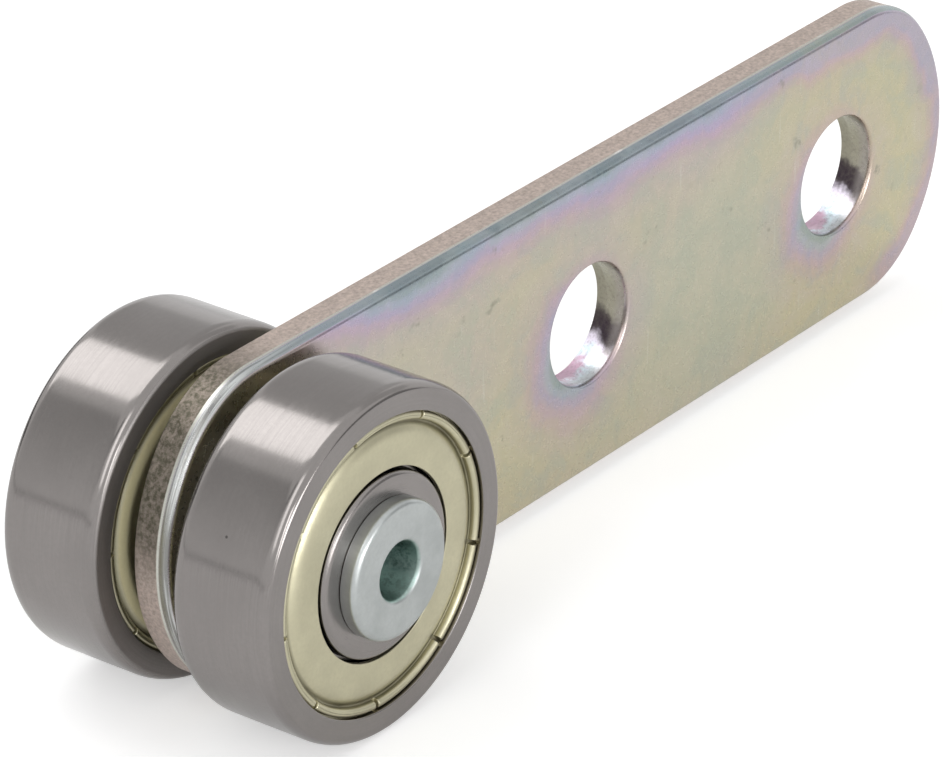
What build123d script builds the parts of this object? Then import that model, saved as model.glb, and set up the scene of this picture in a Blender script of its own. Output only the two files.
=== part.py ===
from build123d import *

import os
from math import cos, isclose, pi, sin, sqrt

# Twin roller wheel on a flat strap. Two shielded ball bearings sit on one axle rivet,
# one on each side of a blanked steel strap, and a spacer washer keeps each of them
# clear of it. The origin is where the axle's centre line crosses the strap's middle
# plane, +X runs along the strap to its two fixing holes, +Y along the axle away from
# the plain rivet head, and +Z is up. All lengths are in millimetres.

# Strap
strap_thickness = 2.5
strap_width = 20.4
strap_near_reach = 8.85
strap_far_reach = 71.35
strap_end_flattening = 1.3
strap_corner_inset = 2.4
strap_edge_roll = 0.5
fixing_hole_diameter = 8.0
fixing_hole_roll = 0.25
first_hole_distance = 31.9
hole_spacing = 27.1

# Axle rivet
shank_clearance = 0.03
strap_bore_clearance = 0.05
head_overhang = 0.82
head_thickness = 1.1
head_edge_radius = 0.3
head_hole_diameter = 3.3
head_hole_depth = 2.6
head_hole_flare = 0.25
closed_head_overhang = 0.9
closed_head_thickness = 1.2
closed_head_crown = 0.35

# Spacer washers
front_spacer_width = 2.0
rear_spacer_width = 1.3
spacer_wall = 1.7
spacer_edge = 0.2
spacer_clearance = 0.05

# Bearing rings
bearing_diameter = 22.0
bearing_bore = 7.0
bearing_width = 7.0
ring_corner_height = 0.4
ring_corner_width = 0.7
bore_chamfer = 0.3
outer_land_gap = 1.2
inner_land_gap = 1.25
inner_step_depth = 0.35
inner_step_chamfer = 0.2

# Balls and their tracks. The balls' share is of the room between bore and tread.
ball_share = 0.2646
ball_count = 7
ball_clearance = 0.05
track_conformity = 1.05

# Shields, with depths counted from the rings' end face
shield_thickness = 0.3
shield_face_depth = 0.2
shield_bore_gap = 0.4
shield_shoulder_slope = 0.22
shield_valley_depth = 0.6
shield_valley_width = 0.22
shield_curl_slope = 0.1
shield_curl_width = 0.45
shield_slit_count = 9
shield_slit_width = 0.26
shield_slit_start = 25.0
seat_wall = 1.7
seat_clearance = 0.07
seat_groove_height = 0.25
seat_groove_width = 0.4
seat_groove_depth = 0.42

# Cage: two pressed ribbons riveted together between the balls
cage_sheet = 0.3
cage_inner_clearance = 0.4
cage_outer_clearance = 0.35
pocket_clearance = 0.1
cage_rivet_diameter = 0.7
cage_rivet_head_diameter = 1.0
cage_rivet_head_height = 0.2
cage_rivet_clearance = 0.03

# Worked out from the values above
strap_half = strap_thickness / 2
bearing_half = bearing_width / 2
bearing_radius = bearing_diameter / 2
pitch_diameter = (bearing_diameter + bearing_bore) / 2
ball_diameter = ball_share * (bearing_diameter - bearing_bore)
outer_land_diameter = pitch_diameter + 2 * outer_land_gap
inner_land_diameter = pitch_diameter - 2 * inner_land_gap
inner_step_diameter = inner_land_diameter - 2 * inner_step_depth
seat_diameter = bearing_diameter - 2 * seat_wall
shield_bore_diameter = inner_step_diameter + 2 * shield_bore_gap
head_diameter = bearing_bore + 2 * head_overhang
closed_head_diameter = bearing_bore + 2 * closed_head_overhang
spacer_diameter = bearing_bore + 2 * spacer_wall
ball_radius = ball_diameter / 2
pitch_radius = pitch_diameter / 2
track_radius = ball_radius * track_conformity
outer_track_bottom = pitch_radius + ball_radius + ball_clearance
inner_track_bottom = pitch_radius - ball_radius - ball_clearance
front_bearing_centre = -(strap_half + front_spacer_width + bearing_half)
rear_bearing_centre = strap_half + rear_spacer_width + bearing_half
front_end_face = front_bearing_centre - bearing_half
rear_end_face = rear_bearing_centre + bearing_half
shank_radius = bearing_bore / 2 - shank_clearance
seat_depth = shield_valley_depth + shield_thickness + seat_clearance
cage_inner_radius = inner_land_diameter / 2 + cage_inner_clearance
cage_outer_radius = outer_land_diameter / 2 - cage_outer_clearance
pocket_radius = ball_radius + pocket_clearance
cage_block = 2 * (cage_outer_radius - cage_inner_radius)

os.makedirs("parts", exist_ok=True)


def section_rectangle(inner_radius, outer_radius, low, high, mode=Mode.ADD):
    """Rectangle of a turned section, with X the radius and Y the place along the axle."""
    with Locations(((inner_radius + outer_radius) / 2, (low + high) / 2)):
        Rectangle(outer_radius - inner_radius, high - low, mode=mode)


def ball_angle(index):
    """Angle in degrees of a ball about the axle, the first one at the top."""
    return 90 + index * 360 / ball_count


# Strap: blanked from flat bar, so its front edge is rolled over and its back edge sharp
end_half = strap_width / 2
strap_end_radius = end_half + strap_end_flattening
strap_corner_radius = end_half - strap_corner_inset
end_bulge = sqrt(strap_end_radius**2 - end_half**2)
near_corner_x = strap_end_radius - strap_near_reach - end_bulge
far_corner_x = strap_far_reach - strap_end_radius + end_bulge
with BuildPart() as strap:
    with BuildSketch(Plane.XZ) as strap_blank:
        with BuildLine() as strap_outline:
            Line((near_corner_x, end_half), (far_corner_x, end_half))
            ThreePointArc((far_corner_x, end_half), (strap_far_reach, 0), (far_corner_x, -end_half))
            Line((far_corner_x, -end_half), (near_corner_x, -end_half))
            ThreePointArc((near_corner_x, -end_half), (-strap_near_reach, 0), (near_corner_x, end_half))
        make_face()
        fillet(strap_blank.vertices(), strap_corner_radius)
        Circle(shank_radius + strap_bore_clearance, mode=Mode.SUBTRACT)
        with Locations((first_hole_distance, 0), (first_hole_distance + hole_spacing, 0)):
            Circle(fixing_hole_diameter / 2, mode=Mode.SUBTRACT)
    extrude(amount=strap_half, both=True)
    front_face = strap.faces().sort_by(Axis.Y)[0]
    fillet(front_face.outer_wire().edges(), strap_edge_roll)
    front_face = strap.faces().sort_by(Axis.Y)[0]
    hole_rims = [
        rim
        for rim in front_face.edges().filter_by(GeomType.CIRCLE)
        if isclose(rim.radius, fixing_hole_diameter / 2, abs_tol=1e-4)
        and rim.arc_center.X > first_hole_distance / 2
    ]
    fillet(hole_rims, fixing_hole_roll)
strap.part.label = "strap"
export_step(strap.part, "parts/strap.step")

# Axle rivet: plain flat head with a blind centre hole in front, closed head behind
front_head_face = front_end_face - head_thickness
head_radius = head_diameter / 2
hole_radius = head_hole_diameter / 2
hole_floor = front_head_face + head_hole_depth
closed_radius = closed_head_diameter / 2
closed_top = rear_end_face + closed_head_thickness
closed_rim = closed_top - closed_head_crown
crown_radius = (closed_radius**2 + closed_head_crown**2) / (2 * closed_head_crown)
crown_middle = closed_top - crown_radius + sqrt(crown_radius**2 - (closed_radius / 2) ** 2)
with BuildPart() as axle_rivet:
    with BuildSketch(Plane.XY) as rivet_section:
        with BuildLine():
            Polyline(
                (0, closed_top),
                (0, hole_floor + hole_radius / 2),
                (hole_radius, hole_floor),
                (hole_radius, front_head_face + head_hole_flare),
                (hole_radius + head_hole_flare, front_head_face),
                (head_radius, front_head_face),
                (head_radius, front_end_face),
                (shank_radius, front_end_face),
                (shank_radius, rear_end_face),
                (closed_radius, rear_end_face),
                (closed_radius, closed_rim),
            )
            ThreePointArc((closed_radius, closed_rim), (closed_radius / 2, crown_middle), (0, closed_top))
        make_face()
        fillet(rivet_section.vertices().group_by(Axis.Y)[0].sort_by(Axis.X)[-1], head_edge_radius)
    revolve(axis=Axis.Y)
axle_rivet.part.label = "axle_rivet"
export_step(axle_rivet.part, "parts/axle_rivet.step")

# Spacer washers between the strap and the two inner rings
spacers = (
    ("front_spacer", -strap_half - front_spacer_width, -strap_half),
    ("rear_spacer", strap_half, strap_half + rear_spacer_width),
)
for spacer_name, low, high in spacers:
    with BuildPart() as spacer:
        with BuildSketch(Plane.XY) as spacer_section:
            section_rectangle(shank_radius + spacer_clearance, spacer_diameter / 2, low, high)
            chamfer(spacer_section.vertices().group_by(Axis.X)[-1], spacer_edge)
        revolve(axis=Axis.Y)
    spacer.part.label = spacer_name
    export_step(spacer.part, f"parts/{spacer_name}.step")

# Shield sheet, drawn as depth below the ring's end face against radius: flat plate,
# shoulder, valley, and the curled edge that snaps into the outer ring's groove
face_back = shield_face_depth + shield_thickness
valley_back = shield_valley_depth + shield_thickness
curl_outer = seat_diameter / 2 - seat_clearance
curl_inner = curl_outer - shield_curl_width
valley_outer = curl_inner - shield_curl_slope
valley_inner = valley_outer - shield_valley_width
shoulder_radius = valley_inner - shield_shoulder_slope
curl_tip = seat_diameter / 2 + seat_groove_height - seat_clearance
tip_top = seat_groove_depth + seat_clearance
tip_bottom = seat_groove_depth + seat_groove_width - seat_clearance
shield_profile = (
    (shield_bore_diameter / 2, shield_face_depth),
    (shoulder_radius, shield_face_depth),
    (valley_inner, shield_valley_depth),
    (valley_outer, shield_valley_depth),
    (curl_inner, shield_face_depth),
    (curl_outer, shield_face_depth),
    (curl_outer, tip_top),
    (curl_tip, tip_top),
    (curl_tip, tip_bottom),
    (valley_outer, valley_back),
    (shoulder_radius, valley_back),
    (shoulder_radius - shield_shoulder_slope, face_back),
    (shield_bore_diameter / 2, face_back),
)

# The two bearings: side name, middle along the axle, and the way its outer face looks
bearings = (
    ("front", front_bearing_centre, -1),
    ("rear", rear_bearing_centre, 1),
)
for side, centre, outward in bearings:
    low_face = centre - bearing_half
    high_face = centre + bearing_half

    # Outer ring: tread outside, ball track and a grooved shield seat at each end inside
    with BuildPart() as outer_ring:
        with BuildSketch(Plane.XY) as outer_section:
            with BuildLine():
                Polyline(
                    (outer_land_diameter / 2, low_face),
                    (bearing_radius - ring_corner_height, low_face),
                    (bearing_radius, low_face + ring_corner_width),
                    (bearing_radius, high_face - ring_corner_width),
                    (bearing_radius - ring_corner_height, high_face),
                    (outer_land_diameter / 2, high_face),
                    close=True,
                )
            make_face()
            for face, inward in ((low_face, 1), (high_face, -1)):
                seat_ends = sorted((face, face + inward * seat_depth))
                section_rectangle(0, seat_diameter / 2, *seat_ends, mode=Mode.SUBTRACT)
                groove_start = face + inward * seat_groove_depth
                groove_ends = sorted((groove_start, groove_start + inward * seat_groove_width))
                groove_radius = seat_diameter / 2 + seat_groove_height
                section_rectangle(0, groove_radius, *groove_ends, mode=Mode.SUBTRACT)
            with Locations((outer_track_bottom - track_radius, centre)):
                Circle(track_radius, mode=Mode.SUBTRACT)
        revolve(axis=Axis.Y)
    outer_ring.part.label = f"{side}_outer_ring"
    export_step(outer_ring.part, f"parts/{side}_outer_ring.step")

    # Inner ring: clamped on the axle, stepped down under each shield
    with BuildPart() as inner_ring:
        with BuildSketch(Plane.XY) as inner_section:
            section_rectangle(bearing_bore / 2, inner_step_diameter / 2, low_face, high_face)
            chamfer(inner_section.vertices().group_by(Axis.X)[-1], inner_step_chamfer)
            chamfer(inner_section.vertices().group_by(Axis.X)[0], bore_chamfer)
            land_ends = low_face + seat_depth, high_face - seat_depth
            section_rectangle(bearing_bore / 2, inner_land_diameter / 2, *land_ends)
            with Locations((inner_track_bottom + track_radius, centre)):
                Circle(track_radius, mode=Mode.SUBTRACT)
        revolve(axis=Axis.Y)
    inner_ring.part.label = f"{side}_inner_ring"
    export_step(inner_ring.part, f"parts/{side}_inner_ring.step")

    # Shields: a thin steel cover in each end of the outer ring, its curl slit all round
    for place, facing in (("outboard", outward), ("inboard", -outward)):
        end_face = centre + facing * bearing_half
        with BuildPart() as shield:
            with BuildSketch(Plane.XY) as shield_section:
                with BuildLine():
                    corners = [(radius, end_face - facing * depth) for radius, depth in shield_profile]
                    Polyline(*corners, close=True)
                make_face()
            revolve(axis=Axis.Y)
            slit_floor = Plane.XZ.offset(-(end_face - facing * shield_valley_depth))
            with BuildSketch(slit_floor) as slits:
                slit_middle = (valley_outer + seat_diameter / 2) / 2
                with PolarLocations(slit_middle, shield_slit_count, start_angle=shield_slit_start):
                    Rectangle(seat_diameter / 2 - valley_outer, shield_slit_width)
            extrude(amount=-facing * shield_valley_depth, mode=Mode.SUBTRACT)
        shield.part.label = f"{side}_{place}_shield"
        export_step(shield.part, f"parts/{side}_{place}_shield.step")

    # Places of the ball centres, the first one at the top
    ball_turns = [ball_angle(index) * pi / 180 for index in range(ball_count)]
    ball_places = [(pitch_radius * cos(turn), centre, pitch_radius * sin(turn)) for turn in ball_turns]
    cage_plane = Plane.XZ.offset(-centre)

    # Cage halves: waved ribbons meeting in the middle plane, arched over every ball
    for place, facing in (("outboard", outward), ("inboard", -outward)):
        with BuildPart(cage_plane) as cage_half:
            with PolarLocations(pitch_radius, ball_count, start_angle=ball_angle(0)):
                Cylinder(pocket_radius + cage_sheet, cage_block, rotation=(0, 90, 0))
            with BuildSketch(cage_plane) as cage_band:
                Circle(cage_outer_radius)
                Circle(cage_inner_radius, mode=Mode.SUBTRACT)
            extrude(amount=-facing * bearing_half, mode=Mode.INTERSECT)
            with BuildSketch(cage_plane) as ribbon:
                Circle(cage_outer_radius)
                Circle(cage_inner_radius, mode=Mode.SUBTRACT)
                with PolarLocations(pitch_radius, ball_count, start_angle=ball_angle(0.5)):
                    Circle(cage_rivet_diameter / 2 + cage_rivet_clearance, mode=Mode.SUBTRACT)
            extrude(amount=-facing * cage_sheet)
            with PolarLocations(pitch_radius, ball_count, start_angle=ball_angle(0)):
                Cylinder(pocket_radius, cage_block, rotation=(0, 90, 0), mode=Mode.SUBTRACT)
        cage_half.part.label = f"{side}_{place}_cage_half"
        export_step(cage_half.part, f"parts/{side}_{place}_cage_half.step")

    # Cage rivets: one between each two balls, headed on both ribbons
    with BuildPart(cage_plane) as cage_rivets:
        with PolarLocations(pitch_radius, ball_count, start_angle=ball_angle(0.5)):
            Cylinder(cage_rivet_diameter / 2, 2 * cage_sheet)
            for facing in (-1, 1):
                with Locations((0, 0, facing * (cage_sheet + cage_rivet_head_height / 2))):
                    Cylinder(cage_rivet_head_diameter / 2, cage_rivet_head_height)
    cage_rivets.part.label = f"{side}_cage_rivets"
    export_step(cage_rivets.part, f"parts/{side}_cage_rivets.step")

    # Balls, numbered round the bearing from the top
    for number, ball_place in enumerate(ball_places, start=1):
        with BuildPart() as ball:
            with Locations(ball_place):
                Sphere(ball_radius)
        ball.part.label = f"{side}_ball_{number}"
        export_step(ball.part, f"parts/{side}_ball_{number}.step")
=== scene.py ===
from math import cos, pi, radians, sin, sqrt

import bmesh
import bpy
import numpy as np
from bpy.props import FloatProperty, FloatVectorProperty, IntProperty, PointerProperty
from mathutils import Matrix, Vector


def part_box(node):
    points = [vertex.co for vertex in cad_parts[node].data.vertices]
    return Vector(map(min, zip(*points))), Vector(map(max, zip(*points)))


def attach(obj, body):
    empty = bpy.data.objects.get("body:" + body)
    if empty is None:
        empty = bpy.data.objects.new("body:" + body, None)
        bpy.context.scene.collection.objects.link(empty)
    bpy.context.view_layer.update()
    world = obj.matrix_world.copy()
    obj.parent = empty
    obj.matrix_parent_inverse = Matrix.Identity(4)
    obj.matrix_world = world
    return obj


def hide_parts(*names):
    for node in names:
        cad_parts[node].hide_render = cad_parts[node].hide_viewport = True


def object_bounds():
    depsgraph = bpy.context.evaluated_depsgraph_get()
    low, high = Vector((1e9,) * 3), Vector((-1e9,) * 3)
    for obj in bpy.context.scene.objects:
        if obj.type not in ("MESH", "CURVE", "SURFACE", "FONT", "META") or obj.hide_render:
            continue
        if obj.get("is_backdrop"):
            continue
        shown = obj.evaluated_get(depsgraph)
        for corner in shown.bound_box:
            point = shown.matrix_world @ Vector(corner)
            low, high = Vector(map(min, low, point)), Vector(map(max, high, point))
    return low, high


bl_info = {
    "name": "Roller Wheel on a Strap",
    "version": (1, 0, 0),
    "blender": (4, 5, 0),
    "location": "3D View > Sidebar > Roller Wheel",
    "description": "Dresses a twin ball bearing roller on a zinc plated strap, piece by piece",
    "category": "Object",
}

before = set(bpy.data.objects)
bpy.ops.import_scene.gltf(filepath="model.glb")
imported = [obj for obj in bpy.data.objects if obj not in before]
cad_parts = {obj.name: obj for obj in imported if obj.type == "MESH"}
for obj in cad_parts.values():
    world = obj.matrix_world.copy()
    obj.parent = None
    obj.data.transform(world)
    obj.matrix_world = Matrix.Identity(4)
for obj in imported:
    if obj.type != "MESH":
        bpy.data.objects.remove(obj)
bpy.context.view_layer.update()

MM = 0.001

# Columns of a turned piece and their angles, and the way each outboard face looks
AXIS_COLUMNS = 240
ALL_ROUND = np.arange(AXIS_COLUMNS) * 2 * pi / AXIS_COLUMNS
SIDES = (("front", -1), ("rear", 1))

# Shield seats as depths below a bearing's face, then the ball track's half widths
SEAT_LIP = 0.42 * MM
SEAT_GROOVE_END = 0.82 * MM
SEAT_END = 0.97 * MM
SEAT_GROOVE_DEEP = 0.25 * MM
TRACK_HALF_WIDTH = 1.95 * MM
TRACK_FLANK = 1.2 * MM
FINE_CORNER = 0.04 * MM
WASHER_BORE = 3.52 * MM

# How far the strap's blanked edges lean in towards the back, and their last rounding
EDGE_TAPER = 0.05 * MM
HOLE_TAPER = 0.09 * MM
BACK_ROUND = 0.05 * MM

# Points along the strap's edges, corners, ends and dividing lines
EDGE_STEPS = 44
CORNER_STEPS = 26
END_STEPS = 52
MIDDLE_STEPS = 72
DIVIDING_STEPS = 50
PATCH_ROWS = 22

# Share of the way to the first fixing hole at which the plate is first divided
FIRST_DIVISION = 0.53

# Colours of the small marks and stains, and of some painted shade, highlights and glints
GREY_PATCH = (0.512, 0.520, 0.412)
CLOUD_GREEN = (0.478, 0.498, 0.398)
CLOUD_WARM = (0.590, 0.548, 0.425)
ROLL_DARK_STREAK = (0.25, 0.24, 0.23)
ROLL_BRIGHT_STREAK = (0.66, 0.67, 0.66)
# Painted shade at the tip of the near end's roll, between the wheels
ROLL_SHADE = (0.15, 0.14, 0.10)
# Burnished land behind the roll, in a light colour that paints the highlight line along it; its nicks are
# painted near white as glints
LAND_AND_PAINTED_HIGHLIGHT = (0.60, 0.61, 0.56)
NICK_PAINTED_GLINT = (0.9, 0.9, 0.88)
FAINT_SCRATCH = (0.72, 0.72, 0.64)
TORN_BLOTCH = (0.088, 0.080, 0.058)
BORE_FRONT = (0.42, 0.38, 0.37)
BORE_SPECK = (0.14, 0.12, 0.11)
# Painted shade in the shields' groove before the curl
GROOVE_SHADE = (0.10, 0.09, 0.055)
HOLE_ZINC = (0.36, 0.45, 0.42)
# Painted shade in the rivet's centre hole
HOLE_SHADE = (0.105, 0.155, 0.145)
# Painted glint low in the rivet's centre hole
HOLE_GLINT = (0.46, 0.60, 0.56)

# Place of the small pit in the front tread
TREAD_PIT = (-9.797 * MM, -6.614 * MM, 5.001 * MM)

# Tint of the plate as its film thins, from none to the thinnest
FILM_STOPS = (
    (0.0, (1.0, 1.0, 1.0)),
    (0.38, (0.99, 0.96, 1.05)),
    (0.54, (0.99, 0.88, 1.10)),
    (0.66, (0.97, 0.82, 1.22)),
    (0.76, (0.87, 0.81, 1.34)),
    (0.86, (0.77, 0.87, 1.32)),
    (0.95, (0.62, 0.77, 1.05)),
    (1.0, (0.50, 0.63, 0.88)),
)
# Colour of a fixing hole's wall, from its lowest place to its highest: painted reflections, with painted
# highlights low down and a nearly black band of painted shade
BORE_REFLECTION_STOPS = (
    (0.01, (0.58, 0.40, 0.51)),
    (0.075, (0.72, 0.85, 0.92)),
    (0.165, (0.94, 0.87, 1.0)),
    (0.245, (0.045, 0.030, 0.046)),
    (0.345, (0.055, 0.040, 0.050)),
    (0.43, (0.36, 0.34, 0.27)),
    (1.0, (0.42, 0.41, 0.32)),
)


def depth_of(node):
    """Lowest and highest place of a CAD node along the axle, in metres."""
    low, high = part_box(node)
    return low[1], high[1]


def span_of(node):
    """Widest reach of a round CAD node from the axle, in metres."""
    low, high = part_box(node)
    return (high[2] - low[2]) / 2


# Settings


strap_low, strap_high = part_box("strap")


class RollerStrapSettings(bpy.types.PropertyGroup):
    """Sizes and colours of the flat strap."""

    thickness: FloatProperty(
        name="Thickness",
        description="Thickness of the strap",
        default=strap_high[1] - strap_low[1],
        unit="LENGTH",
    )
    width: FloatProperty(
        name="Width",
        description="Width of the strap",
        default=strap_high[2] - strap_low[2],
        unit="LENGTH",
    )
    near_reach: FloatProperty(
        name="Near reach",
        description="How far the strap runs past the axle at the wheel's end",
        default=-strap_low[0],
        unit="LENGTH",
    )
    far_reach: FloatProperty(
        name="Far reach",
        description="How far the strap runs from the axle to its free end",
        default=strap_high[0],
        unit="LENGTH",
    )
    end_flattening: FloatProperty(
        name="End flattening",
        description="How much larger the end's radius is than half the width",
        default=1.3 * MM,
        unit="LENGTH",
    )
    corner_inset: FloatProperty(
        name="Corner inset",
        description="How much smaller the corner's radius is than half the width",
        default=2.4 * MM,
        unit="LENGTH",
    )
    roll_depth: FloatProperty(
        name="Edge roll depth",
        description="How far back the blanked front edge rolls over",
        default=0.74 * MM,
        unit="LENGTH",
    )
    roll_height: FloatProperty(
        name="Edge roll height",
        description="How far in from the outline the front face starts to roll over",
        default=0.42 * MM,
        unit="LENGTH",
    )
    hole_radius: FloatProperty(
        name="Fixing hole radius",
        description="Radius of the two fixing holes",
        default=4.0 * MM,
        unit="LENGTH",
    )
    first_hole: FloatProperty(
        name="First hole",
        description="Distance from the axle to the first fixing hole",
        default=31.9 * MM,
        unit="LENGTH",
    )
    hole_spacing: FloatProperty(
        name="Hole spacing",
        description="Distance between the two fixing holes",
        default=27.1 * MM,
        unit="LENGTH",
    )
    plate_colour: FloatVectorProperty(
        name="Plate colour",
        description="Olive beige of the passivated zinc away from the edges",
        default=(0.528, 0.514, 0.394),
        subtype="COLOR",
        min=0.0,
        max=1.0,
    )
    warm_colour: FloatVectorProperty(
        name="Warm plate colour",
        description="Pinkish beige patches of the passivated zinc",
        default=(0.550, 0.498, 0.418),
        subtype="COLOR",
        min=0.0,
        max=1.0,
    )
    yellow_colour: FloatVectorProperty(
        name="Yellow plate colour",
        description="Yellower patches of the passivated zinc, low on the plate and at its far end",
        default=(0.590, 0.542, 0.345),
        subtype="COLOR",
        min=0.0,
        max=1.0,
    )
    edge_colour: FloatVectorProperty(
        name="Blanked edge colour",
        description="Torn part of the blanked edge",
        default=(0.53, 0.440, 0.395),
        subtype="COLOR",
        min=0.0,
        max=1.0,
    )


class RollerBearingSettings(bpy.types.PropertyGroup):
    """Sizes and colours of the two ball bearings."""

    corner_height: FloatProperty(
        name="Corner height",
        description="How far the outer corner eats into the end face",
        default=0.46 * MM,
        unit="LENGTH",
    )
    corner_width: FloatProperty(
        name="Corner width",
        description="How far the outer corner eats into the tread",
        default=0.86 * MM,
        unit="LENGTH",
    )
    slit_count: IntProperty(
        name="Slits",
        description="Number of slits round a shield's curled edge",
        default=9,
        min=1,
    )
    slit_width: FloatProperty(
        name="Slit width",
        description="Width of each slit",
        default=0.24 * MM,
        unit="LENGTH",
    )
    slit_start: FloatProperty(
        name="First slit",
        description="Angle of the first slit about the axle",
        default=radians(25.0),
        subtype="ANGLE",
    )
    ring_colour: FloatVectorProperty(
        name="Ring colour",
        description="Ground steel of the rings",
        default=(0.285, 0.266, 0.257),
        subtype="COLOR",
        min=0.0,
        max=1.0,
    )
    shield_colour: FloatVectorProperty(
        name="Shield colour",
        description="Pale yellow pressed sheet of the shields",
        default=(0.555, 0.525, 0.375),
        subtype="COLOR",
        min=0.0,
        max=1.0,
    )


class RollerAxleSettings(bpy.types.PropertyGroup):
    """Sizes and colours of the axle rivet and the spacers."""

    head_radius: FloatProperty(
        name="Head radius",
        description="Radius of the flat front head",
        default=4.32 * MM,
        unit="LENGTH",
    )
    head_edge: FloatProperty(
        name="Head edge",
        description="Rounding of the front head's edge",
        default=0.38 * MM,
        unit="LENGTH",
    )
    hole_radius: FloatProperty(
        name="Centre hole radius",
        description="Radius of the blind hole in the front head",
        default=1.86 * MM,
        unit="LENGTH",
    )
    hole_depth: FloatProperty(
        name="Centre hole depth",
        description="Depth of the blind hole in the front head",
        default=2.6 * MM,
        unit="LENGTH",
    )
    rivet_colour: FloatVectorProperty(
        name="Rivet colour",
        description="Bluish zinc plate of the rivet",
        default=(0.450, 0.474, 0.470),
        subtype="COLOR",
        min=0.0,
        max=1.0,
    )
    spacer_colour: FloatVectorProperty(
        name="Spacer colour",
        description="Turned steel of the spacer washers",
        default=(0.300, 0.290, 0.275),
        subtype="COLOR",
        min=0.0,
        max=1.0,
    )


class RollerStageSettings(bpy.types.PropertyGroup):
    """Where the camera stands and how bright the studio is."""

    azimuth: FloatProperty(
        name="Camera azimuth",
        description="Turn of the camera about the upright axis",
        default=radians(-52.2794),
        subtype="ANGLE",
    )
    elevation: FloatProperty(
        name="Camera elevation",
        description="Height of the camera above the horizon",
        default=radians(27.0455),
        subtype="ANGLE",
    )
    roll: FloatProperty(
        name="Camera roll",
        description="Turn of the camera about its own line of sight",
        default=radians(-0.5345),
        subtype="ANGLE",
    )
    distance: FloatProperty(
        name="Camera distance",
        description="Distance from the camera to the point that it looks at",
        default=369.3244 * MM,
        unit="LENGTH",
    )
    target: FloatVectorProperty(
        name="Camera target",
        description="Point that the camera looks at",
        default=(21.2915 * MM, -0.1952 * MM, 0.3236 * MM),
        subtype="XYZ",
    )
    lens: FloatProperty(
        name="Lens",
        description="Focal length for a sensor 36 mm wide, in millimetres",
        default=231.095,
    )
    lamp_power: FloatProperty(
        name="Lamp power",
        description="Brightness of all the soft lamps together",
        default=1.0,
    )
    floor_colour: FloatVectorProperty(
        name="Floor colour",
        description="Pale floor under the wheels",
        default=(0.82, 0.82, 0.82),
        subtype="COLOR",
        min=0.0,
        max=1.0,
    )


# Meshes


def mesh_object(name, points, faces):
    """Makes a mesh object from points and faces, one array for each kind of face. The
    signed volume, a sixth of the sum of the triple products of each face's corners, tells
    whether the faces look inwards, and they are turned round if they do."""
    points = np.asarray(points, dtype=float)
    fans = [(kind[:, 0], kind[:, k], kind[:, k + 1]) for kind in faces for k in range(1, kind.shape[1] - 1)]
    volume = sum(np.einsum("ij,ij->", points[a], np.cross(points[b], points[c])) for a, b, c in fans)
    if volume < 0:
        faces = [kind[:, ::-1] for kind in faces]
    mesh = bpy.data.meshes.new(name)
    mesh.from_pydata(points.tolist(), [], [face for kind in faces for face in kind.tolist()])
    mesh.polygons.foreach_set("use_smooth", np.ones(len(mesh.polygons), dtype=bool))
    mesh.update()
    return link_object(name, mesh)


def link_object(name, data):
    """Makes an object of a mesh, a lamp or a camera, and links it to the scene."""
    made = bpy.data.objects.new(name, data)
    bpy.context.scene.collection.objects.link(made)
    return made


def grid_faces(rows, columns, wrap_rows, wrap_columns):
    """Corner numbers of the quads between neighbouring rows and columns of a grid."""
    i = np.arange(rows if wrap_rows else rows - 1)[:, None]
    j = np.arange(columns if wrap_columns else columns - 1)[None, :]
    i_next = (i + 1) % rows
    j_next = (j + 1) % columns
    corners = (i * columns + j, i_next * columns + j, i_next * columns + j_next, i * columns + j_next)
    return np.stack([np.broadcast_to(c, (i.size, j.size)).ravel() for c in corners], axis=1)


def rounded_section(corners, steps=7, rest=0.015 * MM):
    """Closed section with rounded corners, as rows of place along the axle and radius.
    Each given row has the corner's place, its radius, and the reach of the rounding back
    towards the corner before it and on towards the next. A conic joins the two ends A and
    B of the reaches: ((1-s)^2 A + 2 w s (1-s) P + s^2 B) over the sum of the same weights,
    with w the sine of half the corner's angle, so equal reaches give a true arc and a
    right angle with unequal ones an ellipse. A resting point before and after it keeps
    the flats flat in the shading."""
    corners = np.asarray(corners, dtype=float)
    point = corners[:, :2]
    back = np.roll(point, 1, axis=0) - point
    on = np.roll(point, -1, axis=0) - point
    back /= np.linalg.norm(back, axis=1, keepdims=True)
    on /= np.linalg.norm(on, axis=1, keepdims=True)
    weight = np.sqrt((1 - np.sum(back * on, axis=1)) / 2)[:, None, None]
    first = (point + back * corners[:, 2:3])[:, None]
    last = (point + on * corners[:, 3:4])[:, None]
    s = np.linspace(0, 1, steps)[None, :, None]
    middle = 2 * weight * s * (1 - s)
    total = (1 - s) ** 2 + middle + s**2
    arc = ((1 - s) ** 2 * first + middle * point[:, None] + s**2 * last) / total
    before = first + back[:, None] * rest
    after = last + on[:, None] * rest
    return np.concatenate([before, arc, after], axis=1).reshape(-1, 2)


def alike_both_ways(first, second, rows):
    """Corners of a section that is the same seen from both faces of a bearing. The rows
    have the depth below the face, the radius and the two reaches of the rounding, from
    the first face to the middle, and come back in reverse order to the second face."""
    inwards = 1 if second > first else -1
    start = [(first + inwards * depth, radius, back, on) for depth, radius, back, on in rows]
    end = [(second - inwards * depth, radius, on, back) for depth, radius, back, on in rows[:-1]]
    return start + end[::-1]


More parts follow.
